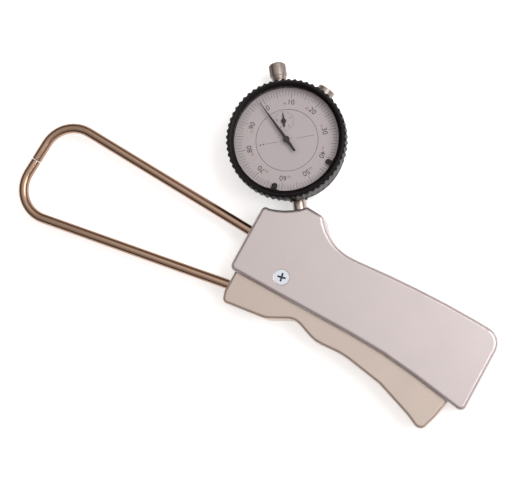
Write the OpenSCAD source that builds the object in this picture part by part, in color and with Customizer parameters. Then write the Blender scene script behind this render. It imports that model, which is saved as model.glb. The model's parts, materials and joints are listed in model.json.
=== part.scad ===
// Skinfold caliper: a cast channel handle, a squeeze lever, two bent jaw rods and a dial indicator.
// The caliper lies on its back. Z = 0 is the back face of the handle and +Z is the dial side.
// The origin is on the lever's pivot axis, +X runs along the fixed rod towards the rear of the
// handle, and +Y points to the side that carries the dial. Everything is in millimetres.

/* [Handle] */
// Thickness of the handle casting, back face to front face
handle_t = 21; // [19:0.5:25]
// Thickness of the two cheeks and of the front and back of the channel
cheek_t = 3; // [2.2:0.1:3.2]
// Wall of the spine that joins the cheeks along the top and the rear
spine_t = 3; // [2.2:0.1:4]
// Pivot axis to the front edge of the handle
front_reach = 25.4; // [24:0.2:28]
// Pivot axis to the rear edge of the handle
rear_reach = 104.6; // [103:0.2:112]
// Height of the crown of the back above the pivot axis
crown_h = 30.5; // [30.2:0.1:33]
// Depth of the cheeks below the pivot axis, at the front
cheek_drop = 9.5; // [8.5:0.1:11]
// Rise of the cheeks' lower edge at its waist
cheek_waist = 4.1; // [2:0.1:5]
// Radius of the cast edges
edge_r = 2; // [1:0.1:2.1]
// Height of the flat shoulder beside the dial stem
shoulder_h = 35.4; // [34.6:0.1:37]
// Radius of the hollow for the thumb
thumb_r = 25; // [24:0.5:27]

/* [Lever] */
// Running clearance between the lever and each cheek
side_gap = 0.3; // [0.25:0.05:0.6]
// Wall of the lever channel
lever_wall = 2.6; // [2:0.1:3]
// Pivot axis to the rear edge of the lever
lever_reach = 97.5; // [95:0.5:98.5]
// Radius of the rounded edges of the lever
lever_edge_r = 1.8; // [1:0.1:2]
// Angle that the lever swings through, from jaws closed to fully squeezed
squeeze = 12; // [8:0.5:12]

/* [Jaws] */
// Diameter of the jaw rods
rod_d = 5; // [4:0.25:5.5]
// Distance of both rods from the pivot axis
rod_offset = 11.5; // [11:0.1:12]
// Angle between the two rods with the jaws closed
rod_angle = 12; // [11:0.25:13]
// Pivot axis to the jaw faces
jaw_reach = 141; // [120:1:160]
// Bend radius of the rods, on their centreline
bend_r = 16; // [12:0.5:18]
// Height of the joint between the jaw faces below the pivot axis
jaw_drop = 14.5; // [12:0.5:17]
// Gap between the closed jaw faces
jaw_gap = 0.3; // [0.2:0.05:1]
// Depth of the sockets that hold the rods
socket_l = 14; // [12:0.5:15]

/* [Pivot] */
// Diameter of the barrel that the lever turns on
barrel_d = 6; // [5:0.25:7]
// Wall of the bronze bush pressed into the lever
bush_wall = 1.2; // [1:0.1:1.6]
// Nominal size of the pivot screw's thread
screw_d = 4; // [3:0.25:4]
// Head diameter of the countersunk pivot screw
screw_head_d = 7.5; // [6.5:0.1:8.5]

/* [Dial indicator] */
// Outer diameter of the bezel, over its grips
bezel_d = 58.6; // [56:0.2:62]
// Number of grips round the bezel
bezel_grips = 60; // [40:1:72]
// Diameter of the indicator case
case_d = 54; // [52:0.5:54.5]
// Height of the indicator's back above the back of the handle
case_lift = 2; // [1:0.1:2.5]
// Depth of the indicator from its back to the front of the bezel
indicator_t = 24; // [23.6:0.1:25]
// Diameter of the mounting stem
stem_d = 6.8; // [6.2:0.1:7.6]
// Diameter of the spindle
spindle_d = 4; // [3.5:0.1:4]
// Diameter of the knurled cap over the top of the spindle
cap_d = 8.4; // [8:0.1:10]
// Distance of the stem axis from the pivot axis
stem_arm = 13; // [12.5:0.1:13.5]
// Angle of the stem axis from the fixed rod
stem_angle = 131; // [128:0.5:133]
// Foot of the stem axis to the centre of the dial
stem_reach = 65.5; // [64.5:0.1:67]
// Gap between the bezel and the hollow cut for it in the handle
bezel_gap = 5; // [4:0.1:6]
// Lean of the anvil pad that sets the lever ratio near ten to one
anvil_lean = -1.7; // [-4:0.1:2]

/* [Movement] */
// Module of the rack and its pinion
rack_module = 0.19894; // [0.18:0.00001:0.2]
// Teeth of the rack pinion
rack_pinion_z = 16; // [14:1:18]
// Module of the wheel train
train_module = 0.1727; // [0.16:0.0001:0.18]
// Teeth of each wheel
wheel_z = 100; // [90:1:104]
// Teeth of the centre pinion
pinion_z = 10; // [9:1:12]
// Face width of the wheels
wheel_t = 0.5; // [0.4:0.05:0.6]

/* [Springs] */
// Outer diameter of the return spring
spring_d = 8.4; // [7:0.1:8.6]
// Wire diameter of the return spring
spring_wire = 1.2; // [0.8:0.1:1.4]
// Number of curls of the return spring
spring_curls = 9; // [6:1:12]

/* [Hidden] */
$fn = 48;

// Clearances
fit_gap = 0.03;                 // a pressed or screwed piece in its seat
run_gap = 0.04;                 // a shaft that turns or slides in its bore
seat_gap = 0.05;                // a face that meets another body's face

// Levels
mid_z = handle_t / 2;           // rods, stem and lever are centred here
lever_t = handle_t - 2 * cheek_t - 2 * side_gap;
rod_r = rod_d / 2;

// Stem axis: its foot is the point nearest the pivot axis
stem_dir = [cos(stem_angle), sin(stem_angle)];
stem_side = [sin(stem_angle), -cos(stem_angle)];
stem_foot = stem_arm * stem_side;
dial_centre = stem_foot + stem_reach * stem_dir;

// Indicator levels, from the back of the handle
back_z = case_lift;
back_t = 1.2;
front_z = case_lift + indicator_t;
web_z = front_z - 9;            // rear of the web that carries the movement
web_t = 1.4;
rim_z = front_z - 6.8;          // top of the case rim
ledge_t = 0.6;                  // ledge in the bezel under the scale ring
dial_z = front_z - 6;           // underside of the dial plates
dial_t = 0.4;
crystal_z = front_z - 2.4;      // underside of the crystal
crystal_t = 1.2;
hand_z = front_z - 3.6;         // underside of the main hand
counter_z = front_z - 5.1;      // underside of the counter hand
plate_z = web_z - 3.7;          // rear of the middle plate
plate_t = 0.8;
wheel_zone = web_z - 2.4;       // underside of both wheels
bridge_z = mid_z - 4.9;         // rear of the rear bridge
bridge_t = 1;
case_wall = 1.5;
case_r = case_d / 2;
bezel_r = bezel_d / 2;

// Movement, in the indicator's own plan: the dial's centre is the origin, +Y is the stem axis
rack_pitch = PI * rack_module;
rack_r = rack_module * rack_pinion_z / 2;
pinion_r = train_module * pinion_z / 2;
wheel_r = train_module * wheel_z / 2;
arbor_distance = pinion_r + wheel_r;
rack_line = 1.6;                // spindle axis to the rack's pitch line
first_arbor = [-(rack_line + rack_r), -sqrt(pow(arbor_distance, 2) - pow(rack_line + rack_r, 2))];
second_arbor = [0, arbor_distance];
arbor_r = 0.5;
arbor_body_r = 0.7;

// Indicator lengths along the stem axis, from the centre of the dial
stem_seat = 20;                 // lower end of the stem, above the foot of its axis
stem_end = stem_seat - stem_reach;
spindle_high = 35;
ball_r = 1.25;
ball_seat = 12.25;              // ball's centre above the foot of the stem axis
spindle_low = ball_seat - stem_reach + 3.25;
cap_low = 32.6;
cap_knurl_low = 34.4;
cap_top = 41.3;
upper_bush_r = 2.8;
bush_top = 36.2;

// Lever ratio: how far the ball rises as the lever is squeezed, by the pad's plane
function pad_rise(a) =
    let (c = ball_seat * cos(anvil_lean) - stem_arm * sin(anvil_lean))
    (c + stem_arm * sin(anvil_lean + a)) / cos(anvil_lean + a) - ball_seat;
spindle_ratio = pad_rise(squeeze) / (squeeze * PI / 180);
echo(spindle_mm_per_rad = spindle_ratio, jaw_mm_per_spindle_mm = jaw_reach / spindle_ratio);
echo(rack_pinion_ratio = spindle_ratio / rack_r, centre_ratio = -spindle_ratio / rack_r * wheel_z / pinion_z,
    second_ratio = spindle_ratio / rack_r);
echo(dial_centre = dial_centre, first_arbor = first_arbor, second_arbor = second_arbor);

// ---------------------------------------------------------------- plane geometry

function unit(v) = v / norm(v);
function arc(c, r, a0, a1, n) = [for (i = [0:n]) c + r * [cos(a0 + (a1 - a0) * i / n),
    sin(a0 + (a1 - a0) * i / n)]];
function angle_of(v) = atan2(v[1], v[0]);
function wrap(a) = a > 180 ? a - 360 : a < -180 ? a + 360 : a;

// Corner [x, y, radius] between its neighbours, as the points of its fillet
function fillet(before, corner, after, step) =
    let (p = [corner[0], corner[1]],
         u = unit([before[0], before[1]] - p),
         v = unit([after[0], after[1]] - p),
         half = acos(max(-1, min(1, u * v))) / 2,
         reach = min(norm([before[0], before[1]] - p), norm([after[0], after[1]] - p)) * 0.98,
         r = min(corner[2], reach * tan(half)),
         c = p + unit(u + v) * r / sin(half),
         a0 = angle_of(p + u * r / tan(half) - c),
         sweep = wrap(angle_of(p + v * r / tan(half) - c) - a0),
         n = max(2, ceil(abs(sweep) / step)))
    corner[2] <= 0 || half > 89.9 ? [p] : arc(c, r, a0, a0 + sweep, n);

function rounded(corners, step = 12) =
    let (n = len(corners))
    [for (i = [0:n - 1]) each fillet(corners[(i + n - 1) % n], corners[i], corners[(i + 1) % n], step)];

function plain(points) = [for (p = points) [p[0], p[1], 0]];

// Outline moved inwards by d, for an anticlockwise outline
function inset(points, d) =
    let (n = len(points))
    [for (i = [0:n - 1])
        let (u = unit(points[i] - points[(i + n - 1) % n]),
             v = unit(points[(i + 1) % n] - points[i]),
             m = unit([-u[1], u[0]] + [-v[1], v[0]]))
        points[i] + m * d / max(0.5, m * [-u[1], u[0]])];

// Ring that rounds the edge of a prism: up = 1 at its lower face, -1 at its upper face, at height z
module edge_round(points, z, r, up, steps) {
    chord = [for (i = [0:steps]) [r * (1 - sin(90 * i / steps)), r * (1 - cos(90 * i / steps))]];
    lead = chord[0] + 0.2 * (chord[0] - chord[1]);
    tail = chord[steps] + 0.2 * (chord[steps] - chord[steps - 1]);
    profile = concat([lead], [for (i = [1:steps - 1]) chord[i]], [tail, [-1, tail[1]], [-1, lead[1]]]);
    n = len(points);
    m = len(profile);
    rings = [for (q = profile) each [for (p = inset(points, q[0])) [p[0], p[1], z + up * q[1]]]];
    function corner(k, i) = (k % m) * n + i % n;
    polyhedron(points = rings, faces = [for (k = [0:m - 1]) for (i = [0:n - 1]) each up > 0 ?
        [[corner(k, i), corner(k + 1, i + 1), corner(k + 1, i)], [corner(k, i), corner(k, i + 1),
            corner(k + 1, i + 1)]] :
        [[corner(k, i), corner(k + 1, i), corner(k + 1, i + 1)], [corner(k, i), corner(k + 1, i + 1),
            corner(k, i + 1)]]]);
}

// Casting: a prism on an outline, with all its upper and lower edges rounded to radius r
module casting(points, z0, z1, r, steps = 4) difference() {
    translate([0, 0, z0]) linear_extrude(z1 - z0) polygon(points);
    edge_round(points, z0, r, 1, steps);
    edge_round(points, z1, r, -1, steps);
}

// Unbroken tube of a coil spring along +Z, with its ends closed down to dead curls
module coil(outer_d, wire, length, curls, sides = 6, per_curl = 8) {
    r = (outer_d - wire) / 2;
    count = curls * per_curl;
    climb = length - wire;
    function height(t) = wire / 2 + climb * t;
    function centre(i) = [r * cos(360 * i / per_curl), r * sin(360 * i / per_curl), height(i / count)];
    function ring(i) =
        let (a = 360 * i / per_curl, c = centre(i), slope = atan2(climb / curls, 2 * PI * r))
        [for (j = [0:sides - 1])
            let (b = 360 * j / sides, s = wire / 2)
            c + s * cos(b) * [cos(a), sin(a), 0] + s * sin(b) * [sin(a) * sin(slope),
                -cos(a) * sin(slope), cos(slope)]];
    points = [for (i = [0:count]) each ring(i)];
    echo(spring_gap = climb / curls * cos(atan2(climb / curls, 2 * PI * r)) - wire);
    polyhedron(points = points, faces = concat(
        [[for (j = [0:sides - 1]) j]],
        [[for (j = [sides - 1:-1:0]) count * sides + j]],
        [for (i = [0:count - 1]) each [for (j = [0:sides - 1])
            [i * sides + j, (i + 1) * sides + j, (i + 1) * sides + (j + 1) % sides]]],
        [for (i = [0:count - 1]) each [for (j = [0:sides - 1])
            [i * sides + j, (i + 1) * sides + (j + 1) % sides, i * sides + (j + 1) % sides]]]
    ));
}

// Places children in the indicator's plan, and turns Z to run along the stem axis
module in_dial() translate([dial_centre[0], dial_centre[1], 0]) rotate([0, 0, stem_angle - 90]) children();
module along_stem(y) in_dial() translate([0, y, mid_z]) rotate([-90, 0, 0]) children();

// ---------------------------------------------------------------- handle

bezel_hollow_r = bezel_r + bezel_gap;
crown_r = 480;
crown_x = 95;
thumb_centre = [21.7, 25.4 + thumb_r];
rear_slope = 0.06;

// Where the hollow for the bezel meets the shoulder and the front edge
hollow_start = stem_angle - 180 + asin(4.5 / bezel_hollow_r);
hollow_end = stem_angle - 180 - 23.5;

function crown_at(x) = crown_h - pow(x - crown_x, 2) / (2 * crown_r);

housing_outline = rounded(concat(
    [[-front_reach + 0.8, -cheek_drop, edge_r + 1.2]],
    [[60, -cheek_drop + cheek_waist, 250]],
    [[rear_reach + 1, -cheek_drop - 0.4, edge_r + 0.9]],
    [[rear_reach - 1.4, crown_h, 8.3]],
    plain([for (x = [88:-15:28]) [x, crown_at(x)]]),
    plain(arc(thumb_centre, thumb_r, -84, -141, 8)),
    [[1, shoulder_h, edge_r + 0.7]],
    plain([for (p = arc(dial_centre, bezel_hollow_r, hollow_start, hollow_end, 5)) p]),
    [[-front_reach - 1, 25, edge_r + 0.5]]
));

// Inside of the channel: open below, closed above by the spine and in front by the rod block
module channel_plan() {
    block_x = -front_reach + socket_l;
    difference() {
        union() {
            offset(delta = -spine_t) polygon(housing_outline);
            polygon([[-front_reach - 5, -40], [rear_reach - 4.5, -40], [rear_reach - 2.8, 0],
                [-front_reach - 5, 0]]);
            translate([-front_reach - 5, -20]) square([40, 20 + rod_offset - rod_r - 3.8]);
        }
        translate([-front_reach - 6, rod_offset - rod_r - 3.8]) square([block_x + front_reach + 6, 60]);
        translate(stem_foot) rotate(stem_angle - 90) translate([-stem_d / 2 - 3.6, stem_seat + 0.5])
            square([stem_d + 7.2, 40]);
    }
}

module housing() {
    color([0.80, 0.77, 0.75]) difference() {
        union() {
            difference() {
                casting(housing_outline, 0, handle_t, edge_r);
                translate([0, 0, cheek_t]) linear_extrude(handle_t - 2 * cheek_t) channel_plan();
            }
            // seat and peg for the return spring
            translate([spring_x, spring_top, mid_z]) rotate([-90, 0, 0]) cylinder(d = spring_d + 1, h = 3);
            translate([spring_x, spring_top - 3, mid_z]) rotate([-90, 0, 0]) cylinder(d = spring_peg_d,
                h = 4);
        }
        // socket of the fixed rod
        translate([-front_reach - 5, rod_offset, mid_z]) rotate([0, 90, 0])
            cylinder(r = rod_r + fit_gap, h = socket_l + 6);
        // bore for the stem
        along_stem(stem_end - 0.5) cylinder(r = stem_d / 2 + fit_gap, h = 30);
        // pivot: barrel head and shank at the back, screw head and shank at the front
        translate([0, 0, -1]) cylinder(r = barrel_d / 2 + fit_gap, h = cheek_t + 2);
        translate([0, 0, -0.01]) cylinder(r1 = barrel_head_r + 0.1, r2 = barrel_d / 2 + fit_gap,
            h = barrel_head_t + 0.1);
        translate([0, 0, handle_t - cheek_t - 1]) cylinder(r = screw_d / 2 + 0.1, h = cheek_t + 2);
        translate([0, 0, handle_t - screw_head_t - 0.2]) cylinder(r1 = screw_d / 2 + 0.1,
            r2 = screw_head_d / 2 + 0.35, h = screw_head_t + 0.21);
        // tapped holes of the two grub screws, from the back
        translate([fixed_grub_x, rod_offset, -1]) cylinder(r = grub_r + fit_gap, h = mid_z + 1);
        translate(concat(stem_grub, -1)) cylinder(r = grub_r + fit_gap, h = mid_z + 1);
    }
}

grub_r = 2;
grub_l = 6;
fixed_grub_x = -front_reach + socket_l / 2;
stem_grub = stem_foot + (stem_reach + stem_end + 5) * stem_dir;
barrel_head_r = 4.5;
barrel_head_t = 1.5;
screw_head_t = (screw_head_d - screw_d) / 2 + 0.5;

spring_x = 50;
spring_top = 24.6;
spring_foot = -11.8;
spring_peg_d = spring_d - 2 * spring_wire - 0.8;

// Headless screw with a hexagon socket, its flat point at z0
module grub(z0, length) {
    translate([0, 0, z0]) difference() {
        cylinder(r = grub_r, h = length);
        translate([0, 0, -1]) cylinder(r = grub_r * 0.55, h = 3, $fn = 6);
    }
}

module fixed_rod_screw() color("dimgray")
    translate([fixed_grub_x, rod_offset, 0]) grub(mid_z - rod_r - 0.05 - grub_l, grub_l);

module stem_screw() color("dimgray")
    translate([stem_grub[0], stem_grub[1], 0]) grub(mid_z - stem_d / 2 - 0.05 - grub_l, grub_l);

module return_spring() color("slategray")
    translate([spring_x, spring_top - 0.1, mid_z]) rotate([90, 0, 0])
        coil(spring_d, spring_wire, spring_top - spring_foot - 0.2, spring_curls);

// ---------------------------------------------------------------- jaw rods

// Rod swept along stations [x, y, heading, radius] in the plane of both rods
module swept_rod(stations, sides = 32) {
    n = len(stations);
    function ring(s) = [for (j = [0:sides - 1])
        let (b = 360 * j / sides)
        [s[0] - s[3] * cos(b) * sin(s[2]), s[1] + s[3] * cos(b) * cos(s[2]), mid_z + s[3] * sin(b)]];
    polyhedron(points = [for (s = stations) each ring(s)], faces = concat(
        [[for (j = [sides - 1:-1:0]) j]],
        [[for (j = [0:sides - 1]) (n - 1) * sides + j]],
        [for (i = [0:n - 2]) each [for (j = [0:sides - 1])
            [i * sides + j, i * sides + (j + 1) % sides, (i + 1) * sides + (j + 1) % sides]]],
        [for (i = [0:n - 2]) each [for (j = [0:sides - 1])
            [i * sides + j, (i + 1) * sides + (j + 1) % sides, (i + 1) * sides + j]]]
    ));
}

// Stations of a bend about a centre, from angle a0 to a1
function bend(c, a0, a1, n = 12) = [for (i = [0:n])
    let (a = a0 + (a1 - a0) * i / n)
    [c[0] + bend_r * cos(a), c[1] + bend_r * sin(a), a + (a1 > a0 ? 90 : -90), rod_r]];

// Stations of a plain end with a small chamfer, at a point and heading
function rod_tip(p, heading) = [
    [p[0] - 0.3 * cos(heading), p[1] - 0.3 * sin(heading), heading, rod_r],
    [p[0], p[1], heading, rod_r - 0.3]
];
function rod_tail(p, heading) = [
    [p[0], p[1], heading, rod_r - 0.3],
    [p[0] + 0.3 * cos(heading), p[1] + 0.3 * sin(heading), heading, rod_r]
];

// Fixed rod: straight along X, then a bend down to the jaw face
module fixed_jaw_rod() color("silver") swept_rod(concat(
    rod_tail([-front_reach + socket_l - 0.2, rod_offset], 180),
    bend([-jaw_reach + bend_r, rod_offset - bend_r], 90, 180),
    rod_tip([-jaw_reach, -jaw_drop + jaw_gap / 2], 270)
));

// Centre of the moving rod's bend: bend_r above the rod's line and bend_r behind the jaw face
low_normal = [-sin(rod_angle), cos(rod_angle)];
low_dir = [cos(rod_angle), sin(rod_angle)];
low_bend = [-jaw_reach + bend_r,
    (-rod_offset + bend_r - (jaw_reach - bend_r) * sin(rod_angle)) / cos(rod_angle)];
low_mouth = -front_reach + 1.6;     // how far along its line the rod enters the lever

module moving_jaw_rod() color("silver") swept_rod(concat(
    rod_tail((low_mouth + socket_l - 0.2) * low_dir - rod_offset * low_normal, 180 + rod_angle),
    bend(low_bend, 270 + rod_angle, 180),
    rod_tip([-jaw_reach, -jaw_drop - jaw_gap / 2], 90)
));

// ---------------------------------------------------------------- lever

pad_seat = ball_seat - ball_r - seat_gap - 1.6;   // nose of the lever under the anvil, along the stem axis
function on_stem(along, across) = stem_foot + along * stem_dir + across * stem_side;
nose_w = 4.4;

rear_arc_low = -asin(28 / lever_reach);
lever_tail = lever_reach * [cos(rear_arc_low), sin(rear_arc_low)];
waist_end = [41.5, -16.7];
sweep_start = [65.9, -17.3];
// The long sweep towards the tail is as wide as the room before the tail's corner lets it be
sweep_turn = acos(unit(sweep_start - waist_end) * unit(lever_tail - sweep_start));
sweep_r = min(110, (norm(lever_tail - sweep_start) - 6) / tan(sweep_turn / 2));
lever_outline = rounded(concat(
    [[-21.2, -20.6, 3.4], [-19.3, -25.3, 2.8]],
    [[3.3, -21.2, 10], [15.3, -14.0, 8], [29.2, -18.2, 15], concat(waist_end, 30), concat(sweep_start, sweep_r)],
    [concat(lever_tail, 3.5)],
    plain(arc([0, 0], lever_reach, rear_arc_low + 6, 1, 3)),
    [[lever_reach - 5.5, 8, 3]],
    [[17, 7, 6]],
    plain([on_stem(pad_seat, nose_w), on_stem(pad_seat, -nose_w)]),
    plain(arc([0, 0], barrel_d / 2 + bush_wall + 3.4, 114, 149, 4)),
    [[-22.6, 3.4, 3]]
));

module lever() {
    color([0.78, 0.74, 0.72]) difference() {
        union() {
            difference() {
                casting(lever_outline, cheek_t + side_gap, handle_t - cheek_t - side_gap, lever_edge_r);
                translate([0, 0, cheek_t + side_gap + lever_wall])
                    linear_extrude(lever_t - 2 * lever_wall) lever_pocket();
            }
            // seat and peg for the return spring
            translate([spring_x, spring_foot - 3.5, mid_z]) rotate([-90, 0, 0])
                cylinder(d = spring_d + 0.6, h = 3.5);
            translate([spring_x, spring_foot - 1, mid_z]) rotate([-90, 0, 0]) cylinder(d = spring_peg_d,
                h = 4);
        }
        translate([0, 0, -1]) cylinder(r = barrel_d / 2 + bush_wall + fit_gap, h = handle_t + 2);
        rotate([0, 0, rod_angle]) translate([low_mouth - 6, -rod_offset, mid_z]) rotate([0, 90, 0])
            cylinder(r = rod_r + fit_gap, h = socket_l + 6);
        translate(concat(moving_grub, -1)) cylinder(r = grub_r + fit_gap, h = mid_z + 1);
        anvil_place() translate([0, 0, -3]) cylinder(r = 1.25 + fit_gap, h = 3.5);
    }
}

module lever_pocket() {
    intersection() {
        union() {
            offset(delta = -lever_wall) polygon(lever_outline);
            translate([24, 0]) square([lever_reach - 24 - 8, 20]);
        }
        translate([17, -50]) square([lever_reach, 100]);
    }
}

moving_grub = (low_mouth + socket_l / 2) * low_dir - rod_offset * low_normal;

module moving_rod_screw() color("dimgray")
    translate([moving_grub[0], moving_grub[1], 0]) grub(mid_z - rod_r - 0.05 - 4.4, 4.4);

module pivot_bush() color("peru") translate([0, 0, cheek_t + side_gap]) difference() {
    cylinder(r = barrel_d / 2 + bush_wall, h = lever_t);
    translate([0, 0, -1]) cylinder(r = barrel_d / 2 + run_gap, h = lever_t + 2);
}

// The anvil's own frame: Z leaves the pad, leaning from the stem axis; the origin is on the nose
module anvil_place() translate(concat(on_stem(pad_seat, 0), mid_z))
    rotate([0, 0, stem_angle - 90]) rotate([-90, 0, 0]) children();

// Hardened button: a flat head, cut to the lean, on a shank pressed into the nose
module anvil() color("gainsboro") difference() {
    anvil_place() union() {
        cylinder(r = 3.2, h = 1.9);
        translate([0, 0, -2.9]) cylinder(r = 1.25, h = 3);
    }
    translate(concat(on_stem(ball_seat, 0), mid_z)) rotate([0, 0, stem_angle - 90 + anvil_lean])
        translate([-10, -ball_r - seat_gap, -10]) cube(20);
}

// ---------------------------------------------------------------- pivot

// Barrel nut: a countersunk head with two spanner holes, flush with the back, and a plain shank
module pivot_barrel() color("silver") difference() {
    top = handle_t - cheek_t - seat_gap;
    rotate_extrude() polygon([
        [0, 0], [barrel_head_r - 0.05, 0], [barrel_d / 2, barrel_head_t],
        [barrel_d / 2, top], [0, top]
    ]);
    translate([0, 0, 6]) cylinder(r = screw_d / 2 + fit_gap, h = handle_t);
    for (a = [30, 210]) rotate([0, 0, a]) translate([barrel_head_r * 0.62, 0, -1]) cylinder(r = 0.6, h = 2);
}

// Countersunk screw with a cross recess
module pivot_screw() color("lightsteelblue") difference() {
    top = handle_t - 0.1;
    neck = top - screw_head_t + 0.3;
    rotate_extrude() polygon([[0, 7], [screw_d / 2 - 0.4, 7], [screw_d / 2, 7.4], [screw_d / 2, neck],
        [screw_head_d / 2, top - 0.2], [screw_head_d / 2 - 0.1, top], [0, top]]);
    for (a = [0, 90]) rotate([0, 0, a + 15]) translate([-2.1, -0.45, top - 1.5]) cube([4.2, 0.9, 3]);
}

// ---------------------------------------------------------------- indicator case and stem

module indicator_case() {
    boss_y = case_r - case_wall - 1;
    color([0.35, 0.34, 0.34]) in_dial() difference() {
        union() {
            rotate_extrude() polygon([
                [case_r - case_wall, back_z + back_t], [case_r, back_z + back_t], [case_r, rim_z],
                    [case_r - 2.5, rim_z],
                [case_r - 2.5, web_z + web_t], [14, web_z + web_t], [14, dial_z - 0.02],
                    [0, dial_z - 0.02], [0, web_z],
                [case_r - case_wall, web_z]]);
            // bosses of the stem and of the upper bush
            translate([0, -boss_y, mid_z]) rotate([90, 0, 0]) cylinder(r = 4.4, h = 4);
            translate([0, boss_y, mid_z]) rotate([-90, 0, 0]) cylinder(r = 4.4, h = 4);
            // pads for the back cover's screws
            for (a = [45:90:315]) rotate([0, 0, a]) intersection() {
                translate([case_r - case_wall - 1.2, 0, back_z + back_t + 0.1])
                    cylinder(r = 2, h = web_z - back_z - back_t + 0.1);
                cylinder(r = case_r - 0.5, h = 40);
            }
            // boss of the bezel lock
            rotate([0, 0, lock_angle]) translate([case_r - 4.5, 0, lock_z]) rotate([0, 90, 0])
                cylinder(r = 3, h = 4.4);
        }
        translate([0, -case_r - 10, mid_z]) rotate([-90, 0, 0]) cylinder(r = stem_d / 2 + fit_gap, h = 15);
        translate([0, case_r - 5, mid_z]) rotate([-90, 0, 0]) cylinder(r = upper_bush_r + fit_gap, h = 15);
        for (p = [first_arbor, [0, 0], second_arbor]) translate(concat(p, web_z - 1))
            cylinder(r = arbor_r + run_gap, h = 10);
        for (a = [45:90:315]) rotate([0, 0, a]) translate([case_r - case_wall - 1.2, 0, 0])
            cylinder(r = 0.8 + fit_gap, h = back_z + back_t + 5);
        rotate([0, 0, lock_angle]) translate([case_r - 8, 0, lock_z]) rotate([0, 90, 0])
            cylinder(r = lock_shank_r + run_gap, h = 12);
        for (p = plate_posts) translate(concat(p, web_z - 1)) cylinder(r = 0.8 + fit_gap, h = 2);
        snap_groove();
    }
}

lock_angle = 90 - 43.6;
lock_z = mid_z;
lock_shank_r = 1.5;
plate_posts = [[10.5, -5.5], [10.5, 5.5], [-12, 3]];

module case_back() color([0.42, 0.41, 0.41]) in_dial() difference() {
    rotate_extrude() polygon([[0, back_z], [case_r - 0.8, back_z], [case_r, back_z + 0.8],
        [case_r, back_z + back_t - 0.02], [0, back_z + back_t - 0.02]]);
    for (a = [45:90:315]) rotate([0, 0, a]) translate([case_r - case_wall - 1.2, 0, 0]) {
        translate([0, 0, back_z - 1]) cylinder(r = 0.9, h = 4);
        translate([0, 0, back_z - 0.01]) cylinder(r1 = 1.7, r2 = 0.9, h = 0.8);
    }
}

module case_back_screws() color("silver") in_dial()
    for (a = [45:90:315]) rotate([0, 0, a]) translate([case_r - case_wall - 1.2, 0, back_z]) difference() {
        rotate_extrude() polygon([[0, 0.05], [1.5, 0.05], [1.5, 0.1], [0.8, 0.8], [0.8, 5], [0, 5]]);
        translate([-2, -0.2, -1]) cube([4, 0.4, 1.45]);
    }

module indicator_stem() color("silver") difference() {
    along_stem(stem_end) cylinder(r = stem_d / 2, h = -case_r + 2.2 - stem_end);
    along_stem(stem_end - 1) cylinder(r = spindle_d / 2 + run_gap, h = 40);
}

module upper_bush() color("silver") difference() {
    along_stem(case_r - 2.6) cylinder(r = upper_bush_r, h = bush_top - case_r + 2.6);
    along_stem(case_r - 6) cylinder(r = spindle_d / 2 + run_gap, h = 40);
}

module spindle_cap() color([0.70, 0.67, 0.65]) difference() {
    along_stem(0) union() {
        rotate_extrude() polygon([[0, cap_low], [upper_bush_r + 0.5, cap_low],
            [cap_d / 2 - 0.3, cap_knurl_low],
            [cap_d / 2 - 0.3, cap_top - 0.8], [cap_d / 2 - 1, cap_top], [0, cap_top]]);
        translate([0, 0, cap_knurl_low + 0.3]) linear_extrude(cap_top - cap_knurl_low - 1.2)
            polygon([for (i = [0:71]) (cap_d / 2 - (i % 2) * 0.22) * [cos(5 * i), sin(5 * i)]]);
    }
    along_stem(cap_low - 1) cylinder(r = upper_bush_r + fit_gap, h = bush_top - cap_low + 1.2);
    along_stem(cap_low) cylinder(r = spindle_d / 2 + 0.25, h = cap_top - cap_low - 1.2);
}

// ---------------------------------------------------------------- spindle and movement

// Teeth as trapezoids: thin at the tip, with backlash on both sides
function gear_points(z, m, turn, tip = 0.8, root = 1.05, thick = 0.40) =
    let (p = 360 / z, r = z * m / 2)
    [for (i = [0:z - 1]) each
        [for (s = [[-thick * 0.72, r - root * m], [-thick * 0.22, r + tip * m],
            [thick * 0.22, r + tip * m], [thick * 0.72, r - root * m]])
            s[1] * [cos(turn + p * (i + s[0])), sin(turn + p * (i + s[0]))]]];

// Turn of a gear that puts a gap where its mate, at direction a, has a tooth with phase f
function mesh_turn(a, f, z) = a + 180 - (0.5 - f) * 360 / z;
function phase(a, turn, z) = (a - turn) * z / 360 - floor((a - turn) * z / 360);

centre_turn = 0;
first_dir = angle_of(first_arbor);
first_turn = mesh_turn(first_dir, phase(first_dir, centre_turn, pinion_z), wheel_z);
second_turn = mesh_turn(90, phase(90, centre_turn, pinion_z), wheel_z);
rack_low = -18;
rack_high = -2;

module spindle() color("silver") difference() {
    union() {
        difference() {
            along_stem(spindle_low) cylinder(r = spindle_d / 2, h = spindle_high - spindle_low);
            in_dial() translate([-5, rack_low - 0.5, mid_z - 5])
                cube([5 - rack_line + rack_module, rack_high - rack_low + 1, 10]);
        }
        in_dial() translate([0, 0, mid_z - 0.9]) linear_extrude(1.8) rack_teeth();
    }
    along_stem(spindle_low - 1) cylinder(r = 1.25 + fit_gap, h = 4.5);
    in_dial() translate([-5, guide_y, mid_z]) rotate([0, 90, 0]) cylinder(r = guide_r + fit_gap, h = 10);
}

guide_y = 14;
guide_r = 0.8;

// Rack teeth point to -X; the rack's gap meets the pinion's tooth at the pinion's height
module rack_teeth() {
    first = first_arbor[1] + rack_pitch / 2;
    low_n = ceil((rack_low - first) / rack_pitch + 0.5);
    high_n = floor((rack_high - first) / rack_pitch - 0.5);
    for (k = [low_n:high_n]) translate([-rack_line, first + k * rack_pitch])
        polygon([[rack_module * 1.2, -0.36 * rack_pitch], [rack_module * 1.2, 0.36 * rack_pitch],
            [-rack_module * 0.8, 0.1 * rack_pitch], [-rack_module * 0.8, -0.1 * rack_pitch]]);
}

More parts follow.
